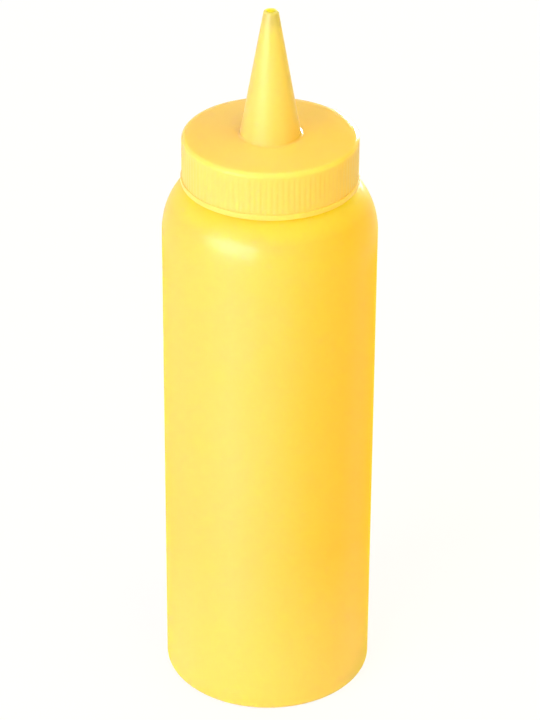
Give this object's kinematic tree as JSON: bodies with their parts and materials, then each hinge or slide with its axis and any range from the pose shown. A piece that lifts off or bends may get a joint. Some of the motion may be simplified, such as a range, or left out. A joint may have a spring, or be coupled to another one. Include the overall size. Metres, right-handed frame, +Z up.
{
  "type": "squeeze bottle",
  "caption": "Upright soft plastic squeeze bottle for sauce, with a rounded shoulder and a ribbed screw cap that carries a hollow conical nozzle.",
  "frame": {"origin": "centre of the foot, on the surface the bottle stands on", "axes": "+Z up along the bottle's axis, towards the nozzle's tip"},
  "size_m": [0.07, 0.07, 0.2442],
  "materials": {
    "bottle_plastic": "soft yellow polyethylene with a satin skin, slightly translucent",
    "cap_plastic": "paler yellow polyethylene, satin on the skirt and glossy on the deck"
  },
  "bodies": {
    "root": {"bottle": "bottle_plastic", "cap": "cap_plastic"}
  },
  "joints": []
}
